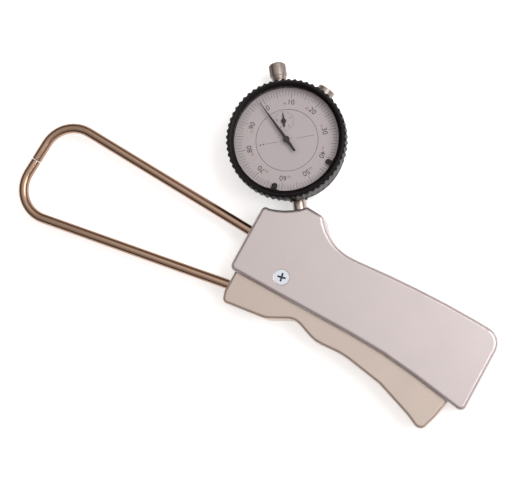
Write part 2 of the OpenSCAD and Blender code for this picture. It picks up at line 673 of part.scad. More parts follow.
module contact_point() color("gainsboro") {
    base = spindle_low - 0.05;
    tip = ball_seat - stem_reach;
    along_stem(0) rotate_extrude() polygon([[0, spindle_low + 2.9], [1.25, spindle_low + 2.9],
        [1.25, base], [2.2, base],
        [2.2, base - 1.6], [ball_r * 0.95, tip + ball_r * 0.3], [0, tip + ball_r * 0.3]]);
    along_stem(tip) sphere(r = ball_r);
}

module guide_pin() color("silver") in_dial() translate([-2.2, guide_y, mid_z]) rotate([0, 90, 0])
    cylinder(r = guide_r, h = 8.2);

// Light spring that draws the guide pin, and with it the spindle, down to the anvil
spring_post = [4.8, 3.4];
module spindle_spring() color("slategray") in_dial() translate([spring_post[0], spring_post[1] + 0.75, mid_z])
    rotate([-90, 0, 0]) coil(2.4, 0.35, guide_y - guide_r - spring_post[1] - 0.85, 9);

module spring_anchor() color("silver") in_dial() translate(concat(spring_post, 0)) rotate_extrude()
    polygon([[0, mid_z - 1.6], [0.6, mid_z - 1.6], [0.6, plate_z - 0.03], [0.5, plate_z - 0.03],
        [0.5, plate_z + plate_t],
        [0, plate_z + plate_t]]);

module middle_plate() color("goldenrod") in_dial() difference() {
    translate([0, 0, plate_z]) union() {
        cylinder(r = 14, h = plate_t);
        for (p = plate_posts) translate(concat(p, 0)) cylinder(r = 1.6, h = web_z - plate_z - 0.02);
    }
    translate(concat(first_arbor, plate_z - 1)) cylinder(r = arbor_body_r + 0.3, h = 3);
    for (p = [[0, 0], second_arbor]) translate(concat(p, plate_z - 1)) cylinder(r = arbor_r + run_gap, h = 3);
    for (p = plate_posts) translate(concat(p, plate_z - 1)) cylinder(r = 0.8 + fit_gap, h = 8);
    for (p = bridge_feet) translate(concat(p, plate_z - 1)) cylinder(r = 0.8 + fit_gap, h = 3);
    translate(concat(spring_post, plate_z - 1)) cylinder(r = 0.5 + fit_gap, h = 3);
}

module plate_screws() color("silver") in_dial() for (p = plate_posts) translate(concat(p, plate_z))
    difference() {
    rotate_extrude() polygon([[0, -0.9], [1.5, -0.9], [1.5, -0.03], [0.8, -0.03],
        [0.8, web_z - plate_z + 0.9], [0, web_z - plate_z + 0.9]]);
    translate([-2, -0.2, -2]) cube([4, 0.4, 1.5]);
}

bridge_feet = [[-8, -9.8], [4.6, -8.2]];
module rear_bridge() color("goldenrod") in_dial() difference() {
    translate([0, 0, bridge_z]) linear_extrude(bridge_t) polygon(rounded([[-10.2, -12.2, 2], [-4, -11.6, 4],
        [6.6, -10.2, 2], [6.6, -6.2, 2], [-4, -6.4, 4], [-10.2, -7.6, 2]]));
    translate(concat(first_arbor, bridge_z - 1)) cylinder(r = arbor_r + run_gap, h = 3);
    for (p = bridge_feet) translate(concat(p, bridge_z - 1)) cylinder(r = 0.8 + fit_gap, h = 3);
}

module bridge_posts() color("silver") in_dial() for (p = bridge_feet) translate(concat(p, 0)) rotate_extrude()
    polygon([[0, bridge_z - 0.6], [0.8, bridge_z - 0.6], [0.8, bridge_z + bridge_t + 0.03],
        [1.3, bridge_z + bridge_t + 0.03],
        [1.3, plate_z - 0.03], [0.8, plate_z - 0.03], [0.8, plate_z + plate_t], [0, plate_z + plate_t]]);

// Rack pinion on its arbor; a tooth points at the rack
module rack_pinion() color("silver") in_dial() translate(concat(first_arbor, 0)) {
    rotate_extrude() polygon([[0, bridge_z + 0.1], [arbor_r, bridge_z + 0.1],
        [arbor_r, bridge_z + bridge_t + 0.3],
        [arbor_body_r, bridge_z + bridge_t + 0.3], [arbor_body_r, wheel_zone], [arbor_r, wheel_zone],
            [arbor_r, web_z + web_t - 0.1],
        [0, web_z + web_t - 0.1]]);
    translate([0, 0, mid_z - 1.2]) linear_extrude(2.4) polygon(gear_points(rack_pinion_z, rack_module, 0));
}

module wheel(turn) difference() {
    linear_extrude(wheel_t) polygon(gear_points(wheel_z, train_module, turn));
    translate([0, 0, -1]) cylinder(r = arbor_r + fit_gap, h = 3);
    for (a = [0:90:270]) rotate([0, 0, a + 45]) translate([wheel_r * 0.56, 0, -1])
        cylinder(r = wheel_r * 0.24, h = 3);
}

module first_wheel() color("gold") in_dial() translate(concat(first_arbor, wheel_zone + 0.02))
    wheel(first_turn);

module centre_pinion() color("silver") in_dial() {
    rotate_extrude() polygon([[0, plate_z + 0.1], [arbor_r, plate_z + 0.1], [arbor_r, hand_z + 0.6],
        [0, hand_z + 0.6]]);
    translate([0, 0, wheel_zone - 0.2]) linear_extrude(wheel_t + 0.4)
        polygon(gear_points(pinion_z, train_module, centre_turn));
}

module second_wheel() color("gold") in_dial() translate(concat(second_arbor, 0)) {
    rotate_extrude() polygon([[0, plate_z + 0.1], [arbor_r, plate_z + 0.1], [arbor_r, counter_z + 0.3],
        [0, counter_z + 0.3]]);
    translate([0, 0, wheel_zone]) linear_extrude(wheel_t) polygon(gear_points(wheel_z, train_module,
        second_turn));
}

// Flat spiral between the second arbor and its stud
spiral_turns = 4;
spiral_start = 0.8;
spiral_pitch = 0.62;
function spiral_at(turn, side) = (spiral_start + spiral_pitch * turn + side) * [cos(360 * turn),
    sin(360 * turn)];

module hairspring() color("slategray") in_dial() translate(concat(second_arbor, wheel_zone + wheel_t + 0.6)) {
    steps = 16 * spiral_turns;
    linear_extrude(0.4) polygon(concat([for (i = [0:steps]) spiral_at(i / 16, 0.06)],
        [for (i = [steps:-1:0]) spiral_at(i / 16, -0.06)]));
    translate([spiral_start + spiral_pitch * spiral_turns, 0, 0]) cylinder(r = 0.35,
        h = web_z - wheel_zone - wheel_t - 0.62);
}

// ---------------------------------------------------------------- dial, hands and bezel

inner_dial_r = 15.1;
scale_r = bezel_r - 3.35;
hub_r = 1.6;
counter_hub_r = 1.2;

module dial_plate() color([0.72, 0.68, 0.68]) in_dial() difference() {
    translate([0, 0, dial_z]) cylinder(r = inner_dial_r, h = dial_t);
    for (p = [[0, 0], second_arbor]) translate(concat(p, dial_z - 1)) cylinder(r = arbor_r + 0.15, h = 3);
}

module scale_ring() color([0.72, 0.68, 0.68]) in_dial() translate([0, 0, dial_z]) difference() {
    cylinder(r = scale_r, h = dial_t);
    translate([0, 0, -1]) cylinder(r = inner_dial_r + 0.2, h = 3);
}

// Long hand: from a counterweight tail to a fine point, on a domed hub
main_hand_angle = 90 + 26;
main_hand_l = 22.6;
main_hand_tail = 7.2;
module main_hand() color([0.12, 0.11, 0.12]) in_dial() difference() {
    union() {
        translate([0, 0, hand_z]) rotate([0, 0, main_hand_angle]) linear_extrude(0.25)
            polygon([[-main_hand_tail, -0.55], [0, -0.85], [main_hand_l, -0.14], [main_hand_l, 0.14],
                [0, 0.85], [-main_hand_tail, 0.55]]);
        translate([0, 0, hand_z - 0.5]) rotate_extrude()
            polygon([[0, 0], [hub_r - 0.4, 0], [hub_r - 0.4, 0.4], [hub_r, 0.6], [hub_r, 1],
            [hub_r - 0.3, 1.25], [0, 1.25]]);
    }
    translate([0, 0, hand_z - 1]) cylinder(r = arbor_r + fit_gap, h = 1.63);
}

counter_hand_angle = 90 - 4;
module counter_hand() color([0.12, 0.11, 0.12]) in_dial() translate(concat(second_arbor, 0)) difference() {
    union() {
        translate([0, 0, counter_z]) rotate([0, 0, counter_hand_angle]) linear_extrude(0.2)
            polygon([[-2.9, -0.45], [0, -0.6], [4, -0.12], [4, 0.12], [0, 0.6], [-2.9, 0.45]]);
        translate([0, 0, counter_z - 0.2]) cylinder(r = counter_hub_r, h = 0.6);
    }
    translate([0, 0, counter_z - 1]) cylinder(r = arbor_r + fit_gap, h = 1.33);
}

module bezel() color([0.10, 0.09, 0.10]) in_dial() {
    skirt_z = front_z - 10.4;
    body_r = bezel_r - 0.9;
    difference() {
        union() {
            rotate_extrude() polygon([[case_r + 0.1, skirt_z], [body_r, skirt_z],
                [body_r, front_z - 0.5], [body_r - 0.5, front_z],
                [body_r - 1.0, front_z], [scale_r - 0.4, crystal_z + crystal_t + 0.03],
                    [scale_r - 0.4, dial_z - ledge_t],
                [case_r + 0.1, dial_z - ledge_t]]);
            translate([0, 0, skirt_z + 0.4]) linear_extrude(front_z - skirt_z - 1.6)
                polygon([for (i = [0:bezel_grips * 6 - 1])
                    (bezel_r - 0.35 + 0.35 * cos(60 * i)) * [cos(60 * i / bezel_grips),
                        sin(60 * i / bezel_grips)]]);
        }
        // case rim, ledge, scale ring's seat and crystal's seat
        translate([0, 0, skirt_z - 1]) cylinder(r = case_r + 0.1, h = dial_z - ledge_t - skirt_z + 1);
        translate([0, 0, skirt_z]) cylinder(r = scale_r - 1.2, h = 20);
        translate([0, 0, dial_z]) cylinder(r = scale_r + fit_gap, h = crystal_z + crystal_t - dial_z);
        snap_groove();
        translate([0, 0, crystal_z + crystal_t - 0.01]) cylinder(r1 = scale_r - 0.4, r2 = body_r - 1,
            h = front_z - crystal_z - crystal_t + 0.02);
    }
}

// Round wire that keeps the bezel on the case: it sits in a groove of each
snap_z = front_z - 8.6;
snap_r = case_r + 0.05;
module snap_groove() translate([0, 0, snap_z]) rotate_extrude() translate([snap_r, 0])
    circle(r = 0.45, $fn = 16);
module bezel_snap_ring() color("silver") in_dial() translate([0, 0, snap_z]) rotate_extrude()
    translate([snap_r, 0]) circle(r = 0.38, $fn = 16);

module crystal() color([0.85, 0.9, 0.92, 0.3]) in_dial() translate([0, 0, crystal_z])
    cylinder(r = scale_r, h = crystal_t - 0.02);

// Limit marker: a tab with a round tip on a shoe that runs round inside the bezel
module limit_marker(turn) color([0.10, 0.09, 0.10]) in_dial() rotate([0, 0, 90 - turn]) {
    shoe_z = dial_z + dial_t + 0.1;
    intersection() {
        translate([0, 0, shoe_z]) difference() {
            cylinder(r = scale_r - 0.08, h = crystal_z - shoe_z - 0.1);
            translate([0, 0, -1]) cylinder(r = scale_r - 0.8, h = 10);
        }
        translate([10, -3, 0]) cube([30, 6, 40]);
    }
    translate([0, 0, shoe_z + 0.5]) linear_extrude(0.4) {
        translate([scale_r - 2.8, 0]) circle(r = 1.4);
        translate([scale_r - 2.8, -1.4]) square([2.6, 2.8]);
    }
}

marker_right_turn = 128.6;
marker_left_turn = -156.1;
module limit_marker_right() limit_marker(marker_right_turn);
module limit_marker_left() limit_marker(marker_left_turn);

// Lock of the bezel: a shoe under its skirt, and a thumb screw through the case wall
module bezel_lock_shoe() color("silver") in_dial() rotate([0, 0, lock_angle]) difference() {
    union() {
        translate([case_r + 0.05, -3.2, lock_z - 3.2]) cube([0.6, 6.4, front_z - 10.5 - lock_z + 3.2]);
        translate([case_r + 0.05, -3.2, front_z - 10.95]) cube([1.5, 6.4, 0.45]);
    }
    translate([case_r - 5, 0, lock_z]) rotate([0, 90, 0]) cylinder(r = lock_shank_r + run_gap, h = 10);
}

module bezel_lock_screw() color([0.75, 0.73, 0.72]) in_dial() rotate([0, 0, lock_angle])
    translate([0, 0, lock_z]) rotate([0, 90, 0])
    rotate_extrude() polygon([[0, case_r - 4], [lock_shank_r, case_r - 4], [lock_shank_r, case_r + 0.7],
        [4.1, case_r + 0.7], [4.4, case_r + 1],
        [4.4, 32.4], [4.0, 32.8], [0, 32.8]]);

housing();
fixed_jaw_rod();
fixed_rod_screw();
pivot_barrel();
pivot_screw();
stem_screw();
return_spring();
lever();
moving_jaw_rod();
moving_rod_screw();
pivot_bush();
anvil();
indicator_case();
case_back();
case_back_screws();
indicator_stem();
upper_bush();
spindle_cap();
spindle();
contact_point();
guide_pin();
spindle_spring();
spring_anchor();
middle_plate();
plate_screws();
rear_bridge();
bridge_posts();
rack_pinion();
first_wheel();
centre_pinion();
second_wheel();
hairspring();
dial_plate();
scale_ring();
main_hand();
counter_hand();
bezel();
bezel_snap_ring();
crystal();
limit_marker_right();
limit_marker_left();
bezel_lock_shoe();
bezel_lock_screw();
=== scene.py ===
import json
import math

import bmesh
import bpy
from mathutils import Matrix, Vector

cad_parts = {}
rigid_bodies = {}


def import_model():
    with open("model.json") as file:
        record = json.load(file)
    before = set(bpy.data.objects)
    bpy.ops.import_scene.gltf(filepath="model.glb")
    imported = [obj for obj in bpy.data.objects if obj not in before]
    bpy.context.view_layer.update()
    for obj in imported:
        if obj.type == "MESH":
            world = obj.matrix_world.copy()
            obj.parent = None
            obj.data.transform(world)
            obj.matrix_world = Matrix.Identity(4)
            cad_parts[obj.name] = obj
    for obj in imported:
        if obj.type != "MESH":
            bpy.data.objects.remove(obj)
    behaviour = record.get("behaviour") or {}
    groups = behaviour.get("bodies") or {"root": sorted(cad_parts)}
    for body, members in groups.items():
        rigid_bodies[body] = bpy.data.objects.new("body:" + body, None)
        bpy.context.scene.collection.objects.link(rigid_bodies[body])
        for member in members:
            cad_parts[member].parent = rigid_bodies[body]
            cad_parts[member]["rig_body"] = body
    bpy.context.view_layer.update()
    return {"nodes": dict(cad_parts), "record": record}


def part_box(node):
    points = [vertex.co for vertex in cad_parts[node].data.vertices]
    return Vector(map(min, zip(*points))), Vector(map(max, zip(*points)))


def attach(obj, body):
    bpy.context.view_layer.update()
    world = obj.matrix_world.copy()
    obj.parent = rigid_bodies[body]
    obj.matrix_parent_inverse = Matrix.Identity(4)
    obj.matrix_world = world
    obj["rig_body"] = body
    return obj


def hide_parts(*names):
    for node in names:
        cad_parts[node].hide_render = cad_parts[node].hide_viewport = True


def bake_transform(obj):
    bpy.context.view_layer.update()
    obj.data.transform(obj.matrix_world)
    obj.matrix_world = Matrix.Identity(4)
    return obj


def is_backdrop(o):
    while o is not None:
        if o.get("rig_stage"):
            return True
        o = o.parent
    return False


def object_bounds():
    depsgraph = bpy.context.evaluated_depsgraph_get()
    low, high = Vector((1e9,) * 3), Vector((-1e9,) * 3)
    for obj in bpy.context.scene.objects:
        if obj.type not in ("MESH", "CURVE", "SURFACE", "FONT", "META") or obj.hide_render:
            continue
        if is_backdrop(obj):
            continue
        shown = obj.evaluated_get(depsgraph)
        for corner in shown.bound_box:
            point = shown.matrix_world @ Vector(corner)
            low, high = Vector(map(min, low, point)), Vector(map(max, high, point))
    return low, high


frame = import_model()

bl_info = {
    "name": "Skinfold caliper",
    "version": (1, 0, 0),
    "blender": (4, 5, 0),
    "location": "View3D > Sidebar > Caliper",
    "description": "Finishes, dial print, floor, light and camera of a skinfold caliper",
    "category": "Object",
}

JOINTS = {j["name"]: j for j in frame["record"]["behaviour"]["joints"]}
MM = 0.001

# The dial's own plan: its centre is the origin and +Y runs up the stem, as the dial is read
STEM = Vector(JOINTS["spindle_slide"]["axis"]).normalized()
DIAL_TURN = math.atan2(STEM.y, STEM.x) - math.pi / 2
RING_LOW, RING_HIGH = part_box("scale_ring")
DIAL_TOP = RING_HIGH.z
DIAL_CENTRE = Vector(((RING_LOW.x + RING_HIGH.x) / 2, (RING_LOW.y + RING_HIGH.y) / 2, 0))


def linear(code):
    """Colour written as sRGB hex, as the linear values that Blender works in."""
    def channel(c):
        return c / 12.92 if c <= 0.04045 else ((c + 0.055) / 1.055) ** 2.4
    return tuple(channel(int(code[i:i + 2], 16) / 255) for i in (0, 2, 4))


# ------------------------------------------------------------------ what a user would change

def length(name, text, value):
    return bpy.props.FloatProperty(name=name, description=text, default=value, min=0,
                                   subtype="DISTANCE", unit="LENGTH", precision=5)


def angle(name, text, degrees):
    return bpy.props.FloatProperty(name=name, description=text, default=math.radians(degrees),
                                   subtype="ANGLE", unit="ROTATION")


def colour(name, text, code):
    return bpy.props.FloatVectorProperty(name=name, description=text, default=linear(code),
                                         size=3, min=0, max=1, subtype="COLOR")


class CaliperSizes(bpy.types.PropertyGroup):
    tick_outer: length("Tick ring", "Radius that the ticks of the scale reach out to", 24.6 * MM)
    tick_short: length("Short tick", "Length of a tick for one division", 2.6 * MM)
    tick_middle: length("Middle tick", "Length of a tick for five divisions", 3.2 * MM)
    tick_long: length("Long tick", "Length of a tick for ten divisions", 3.7 * MM)
    tick_width: length("Tick width", "Width of a printed tick", 0.17 * MM)
    ink: length("Ink thickness", "Height of the print above the dial", 0.02 * MM)
    figure_size: length("Figure size", "Type size of the large figures", 3.6 * MM)
    figure_radius: length("Figure ring", "Radius of the middle of the large figures", 18.7 * MM)
    counter_size: length("Counter figure size",
                         "Type size of the figures that count the other way", 1.7 * MM)
    divisions: bpy.props.IntProperty(name="Divisions", description="Ticks round the scale",
                                     default=100, min=10)
    zero_turn: angle("Zero", "Direction of the scale's zero, from the dial's right", 111)
    smooth_angle: angle("Sharp edges", "Angle above which an edge stays sharp", 33)
    floor_size: length("Floor", "Width of the studio floor", 6.0)


class CaliperColours(bpy.types.PropertyGroup):
    casting: colour("Casting", "Satin metal of the handle", "CDC3C3")
    lever: colour("Lever", "Satin metal of the lever", "CBBCB2")
    # The rod colour is the plating's tint with a painted brown reflection of the surroundings in it
    rod: colour("Rod", "Plating of the jaw rods", "AC8F7B")
    black: colour("Black", "Satin black of the bezel and case", "120C0F")
    dial: colour("Dial", "Satin silver of the dial", "CDC4C6")
    ink: colour("Ink", "Black print of the dial", "2E2827")
    red_ink: colour("Red ink", "Red print of the dial", "B0666C")
    hand: colour("Hand", "Lacquer of the hands", "1E171A")
    brass: colour("Brass", "Plates and wheels of the movement", "D8B26A")
    steel: colour("Steel", "Turned and ground steel", "B5A8A1")
    floor: colour("Floor", "Studio floor", "FBFAFA")


def sizes():
    return bpy.context.scene.caliper_sizes


def colours():
    return bpy.context.scene.caliper_colours


# ------------------------------------------------------------------ materials

def add(tree, kind, values=None, **settings):
    """Add one node: settings are its options, values its sockets, each a number or a socket."""
    node = tree.nodes.new(kind)
    for key, value in settings.items():
        setattr(node, key, value)
    for key, value in (values or {}).items():
        if isinstance(value, bpy.types.NodeSocket):
            tree.links.new(value, node.inputs[key])
        else:
            node.inputs[key].default_value = value
    return node


def shade(rgb, factor):
    return [min(1.0, c * factor) for c in rgb]


def start(name):
    """A new material with its shader, or the one already made, with no tree to fill in."""
    material = bpy.data.materials.get(name)
    if material:
        return material, None, None
    material = bpy.data.materials.new(name)
    material.use_nodes = True
    tree = material.node_tree
    tree.nodes.clear()
    surface = add(tree, "ShaderNodeBsdfPrincipled")
    output = add(tree, "ShaderNodeOutputMaterial")
    tree.links.new(surface.outputs["BSDF"], output.inputs["Surface"])
    return material, tree, surface


def grained(name, rgb, metallic, rough, grain_mm, bump_mm, spread, stretch=(1, 1, 1), turn=0.0,
            patch_mm=14.0, strength=0.5, gloss=0.5):
    """Finish with a fine grain, which lifts the surface, and wide faint patches of wear."""
    material, tree, surface = start(name)
    if tree is None:
        return material
    # Two noises of about 0.5 each are added, so this is where their sum lies
    noise_range = {"From Min": 0.6, "From Max": 1.4}
    uneven = 0.15
    surface.inputs["Metallic"].default_value = metallic
    surface.inputs["Specular IOR Level"].default_value = gloss
    place = add(tree, "ShaderNodeTexCoord").outputs["Object"]
    turned = add(tree, "ShaderNodeMapping", {"Vector": place, "Rotation": (0, 0, turn)})
    drawn = add(tree, "ShaderNodeMapping", {"Vector": turned.outputs["Vector"], "Scale": stretch})
    grain = add(tree, "ShaderNodeTexNoise", {
        "Vector": drawn.outputs["Vector"], "Scale": 1 / (grain_mm * MM), "Detail": 3.0,
        "Roughness": 0.55})
    patch = add(tree, "ShaderNodeTexNoise", {
        "Vector": place, "Scale": 1 / (patch_mm * MM), "Detail": 2.0})
    both = add(tree, "ShaderNodeMath", {0: grain.outputs["Fac"], 1: patch.outputs["Fac"]},
               operation="ADD")
    tone = add(tree, "ShaderNodeMapRange", {"Value": both.outputs[0], **noise_range})
    mix = add(tree, "ShaderNodeMix", {"Factor": tone.outputs["Result"]}, data_type="RGBA")
    mix.inputs["A"].default_value = (*shade(rgb, 1 - spread), 1)
    mix.inputs["B"].default_value = (*shade(rgb, 1 + spread), 1)
    polish = add(tree, "ShaderNodeMapRange", {
        "Value": both.outputs[0], **noise_range,
        "To Min": rough * (1 - uneven), "To Max": rough * (1 + uneven)})
    lift = add(tree, "ShaderNodeBump", {
        "Height": grain.outputs["Fac"], "Strength": strength, "Distance": bump_mm * MM})
    tree.links.new(mix.outputs["Result"], surface.inputs["Base Color"])
    tree.links.new(polish.outputs["Result"], surface.inputs["Roughness"])
    tree.links.new(lift.outputs["Normal"], surface.inputs["Normal"])
    return material


def cast_metal():
    # Bead-blasted die casting: a pale warm satin, whose fine pitted grain breaks up reflections
    return grained("cast_metal", colours().casting, metallic=0.85, rough=0.42, grain_mm=0.6,
                   bump_mm=0.03, spread=0.045)


def lever_metal():
    # The same casting on the lever, a shade darker and a little smoother where fingers rub it
    return grained("lever_metal", colours().lever, metallic=0.85, rough=0.38, grain_mm=0.6,
                   bump_mm=0.025, spread=0.05)


def plated_rod():
    # Polished plating over drawn rod: a near mirror, with faint hairlines along the caliper; its
    # brown colour is partly painted reflection of the surroundings
    return grained("plated_rod", colours().rod, metallic=1.0, rough=0.21, grain_mm=0.25,
                   bump_mm=0.004, spread=0.03, stretch=(0.05, 1, 1), strength=0.3)


def ground_steel():
    # Ground steel: hairlines across the stem, seen as a soft streak of light
    return grained("ground_steel", colours().steel, metallic=1.0, rough=0.24, grain_mm=0.2,
                   bump_mm=0.005, spread=0.04, turn=-DIAL_TURN, stretch=(0.2, 1, 1), strength=0.3)


def knurled_plating():
    # Satin plating on the cap and lock screw: darker and softer than the ground stem
    return grained("knurled_plating", shade(colours().steel, 0.74), metallic=0.85, rough=0.4,
                   grain_mm=0.3, bump_mm=0.006, spread=0.04)


def bright_screw():
    # Bright plated screw head: a cool glint beside the warm casting
    return grained("bright_screw", linear("DCE2EA"), metallic=0.7, rough=0.32, grain_mm=0.25,
                   bump_mm=0.004, spread=0.05)


def recess_shadow():
    # Cross recess of the pivot screw: punched and unpolished, with painted shade that darkens it
    # where the recess lies in shadow
    return grained("recess_shadow", linear("4A4E58"), metallic=0.5, rough=0.6, grain_mm=0.2,
                   bump_mm=0.004, spread=0.1)


def black_oxide():
    # Blackened grub screws: dark grey with a dull oily shine
    return grained("black_oxide", linear("2B2A2C"), metallic=0.8, rough=0.42, grain_mm=0.3,
                   bump_mm=0.006, spread=0.1)


def spring_wire():
    # Drawn spring wire: darker steel with a slightly uneven drawn skin
    return grained("spring_wire", linear("85858A"), metallic=1.0, rough=0.3, grain_mm=0.2,
                   bump_mm=0.005, spread=0.08)


def satin_black():
    # Satin black finish of the bezel: nearly black, with a soft sheen on the tips of its grips
    return grained("satin_black", colours().black, metallic=0.0, rough=0.4, grain_mm=0.22,
                   bump_mm=0.008, spread=0.16, gloss=0.18)


def case_black():
    # Black enamel of the case: duller than the bezel, with a slight orange-peel texture
    return grained("case_black", colours().black, metallic=0.0, rough=0.48, grain_mm=0.6,
                   bump_mm=0.012, spread=0.14, gloss=0.14)


def movement_brass():
    # Brushed brass of the plates and wheels: straight fine brushing in one direction
    return grained("movement_brass", colours().brass, metallic=1.0, rough=0.3, grain_mm=0.2,
                   bump_mm=0.004, spread=0.06, stretch=(0.08, 1, 1))


def bronze():
    # Porous bush bronze: redder and duller than the brass
    return grained("bronze", linear("B9824E"), metallic=1.0, rough=0.4, grain_mm=0.3,
                   bump_mm=0.006, spread=0.1)


def hand_lacquer():
    # Matt black lacquer on thin stamped hands: no highlight, so that they read against silver
    return grained("hand_lacquer", colours().hand, metallic=0.0, rough=0.5, grain_mm=0.15,
                   bump_mm=0.003, spread=0.15, patch_mm=4)


def dial_silver():
    # Silvered dial: an even satin grey, whose very fine grain never shows a sharp highlight
    return grained("dial_silver", colours().dial, metallic=0.2, rough=0.52, grain_mm=0.12,
                   bump_mm=0.003, spread=0.025, patch_mm=20, strength=0.3)


def black_print():
    # Black printing ink: soft dark grey, a little thinner in places
    return grained("black_print", colours().ink, metallic=0.0, rough=0.6, grain_mm=0.3,
                   bump_mm=0.001, spread=0.12, patch_mm=3, strength=0.1)


def red_print():
    # Red printing ink of the figures that count the other way: as matt as the black
    return grained("red_print", colours().red_ink, metallic=0.0, rough=0.6, grain_mm=0.3,
                   bump_mm=0.001, spread=0.1, patch_mm=3, strength=0.1)


def clear_crystal():
    # Flat acrylic crystal: almost unseen from in front, with faint rubbing that softens its glint
    rub_mm = 6
    material, tree, surface = start("clear_crystal")
    if tree is None:
        return material
    surface.inputs["Base Color"].default_value = (*linear("6F6569"), 1)
    surface.inputs["Alpha"].default_value = 0.06
    surface.inputs["IOR"].default_value = 1.49
    place = add(tree, "ShaderNodeTexCoord").outputs["Object"]
    rub = add(tree, "ShaderNodeTexNoise", {
        "Vector": place, "Scale": 1 / (rub_mm * MM), "Detail": 4.0})
    soft = add(tree, "ShaderNodeMapRange", {
        "Value": rub.outputs["Fac"], "To Min": 0.03, "To Max": 0.12})
    tree.links.new(soft.outputs["Result"], surface.inputs["Roughness"])
    return material


# ------------------------------------------------------------------ meshes

def dial_place(z=0.0):
    """Place of the dial's plan in the object's frame, at height z."""
    centre = Vector((DIAL_CENTRE.x, DIAL_CENTRE.y, z))
    return Matrix.Translation(centre) @ Matrix.Rotation(DIAL_TURN, 4, "Z")


def into_scene(name, data):
    item = bpy.data.objects.new(name, data)
    bpy.context.scene.collection.objects.link(item)
    return item


def evaluated_mesh(piece):
    depsgraph = bpy.context.evaluated_depsgraph_get()
    return bpy.data.meshes.new_from_object(piece.evaluated_get(depsgraph))


def painted(mesh, material):
    """Give a mesh one material, in place of those it has."""
    mesh.materials.clear()
    mesh.materials.append(material)
    mesh.polygons.foreach_set("material_index", [0] * len(mesh.polygons))
    return mesh


def level_flats(mesh):
    """Hold the shading level on faces that point straight up or down, up to their very edge."""
    upright = math.cos(math.radians(0.6))
    near = math.cos(sizes().smooth_angle)
    normals = [list(corner.vector) for corner in mesh.corner_normals]
    flat = {}
    for face in mesh.polygons:
        if abs(face.normal.z) > upright:
            for vertex in face.vertices:
                flat.setdefault(vertex, set()).add(math.copysign(1, face.normal.z))
    for face in mesh.polygons:
        for corner in face.loop_indices:
            for way in flat.get(mesh.loops[corner].vertex_index, ()):
                if face.normal.z * way > near:
                    normals[corner] = [0, 0, way]
    mesh.normals_split_custom_set(normals)


def smoothed(node, material, bends=None):
    """Merge a copy of a CAD node, shade its curves smooth and let the copy stand for the node.

    The copy moves with the node's body; given bends, (body, body, start, end), it stays where it is
    instead, and the values in bends are not used.
    """
    same_place, no_length = 0.001 * MM, 0.0001 * MM
    source = frame["nodes"][node]
    mesh = source.data.copy()
    work = bmesh.new()
    work.from_mesh(mesh)
    bmesh.ops.remove_doubles(work, verts=work.verts, dist=same_place)
    bmesh.ops.dissolve_degenerate(work, edges=work.edges, dist=no_length)
    work.to_mesh(mesh)
    work.free()
    painted(mesh, material)
    mesh.shade_smooth()
    mesh.set_sharp_from_angle(angle=sizes().smooth_angle)
    piece = into_scene(node + "_finished", mesh)
    weigh = piece.modifiers.new("even_flats", "WEIGHTED_NORMAL")
    weigh.keep_sharp = True
    piece.data = evaluated_mesh(piece)
    piece.modifiers.clear()
    level_flats(piece.data)
    if bends:
        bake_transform(piece)
    else:
        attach(piece, source["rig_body"])
    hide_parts(node)
    return piece


def finish_inside(nodes, material):
    """Give CAD nodes that keep their own shape a material."""
    for node in nodes:
        source = frame["nodes"][node]
        if not source.material_slots:
            raise RuntimeError("no material slot on " + node)
        for slot in source.material_slots:
            slot.material = material


def printed(name, mesh, body):
    """Put a printed mesh, drawn in the dial's plan, on the dial."""
    mesh.transform(dial_place(DIAL_TOP))
    piece = into_scene(name, mesh)
    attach(piece, body)
    return piece


def lettering(items, material, ink):
    """One mesh of figures: each item is (text, type size, x, y, turn), in the dial's plan."""
    work = bmesh.new()
    for text, size, x, y, turn in items:
        curve = bpy.data.curves.new("figure", "FONT")
        curve.body = text
        curve.size = size
        curve.align_x = "CENTER"
        curve.align_y = "CENTER"
        curve.extrude = ink / 2
        curve.resolution_u = 4
        holder = into_scene("figure", curve)
        mesh = evaluated_mesh(holder)
        mesh.transform(Matrix.Translation((x, y, ink / 2)) @ Matrix.Rotation(turn, 4, "Z"))
        work.from_mesh(mesh)
        bpy.data.objects.remove(holder)
        bpy.data.meshes.remove(mesh)
        bpy.data.curves.remove(curve)
    mesh = bpy.data.meshes.new("lettering")
    work.to_mesh(mesh)
    work.free()
    return painted(mesh, material)


def bars(items, material, ink):
    """One mesh of straight printed lines: each item is (x, y, length, width), along X."""
    work = bmesh.new()
    for x, y, long, wide in items:
        size = Matrix.Diagonal((long, wide, ink, 1))
        bmesh.ops.create_cube(work, size=1, matrix=Matrix.Translation((x, y, ink / 2)) @ size)
    mesh = bpy.data.meshes.new("bars")
    work.to_mesh(mesh)
    work.free()
    return painted(mesh, material)


# ------------------------------------------------------------------ ticks, by Geometry Nodes

TICK_INPUTS = {
    "Count": "NodeSocketInt",
    "Outer Radius": "NodeSocketFloat",
    "Short": "NodeSocketFloat",
    "Middle": "NodeSocketFloat",
    "Long": "NodeSocketFloat",
    "Width": "NodeSocketFloat",
    "Ink": "NodeSocketFloat",
    "Zero": "NodeSocketFloat",
    "Material": "NodeSocketMaterial",
}


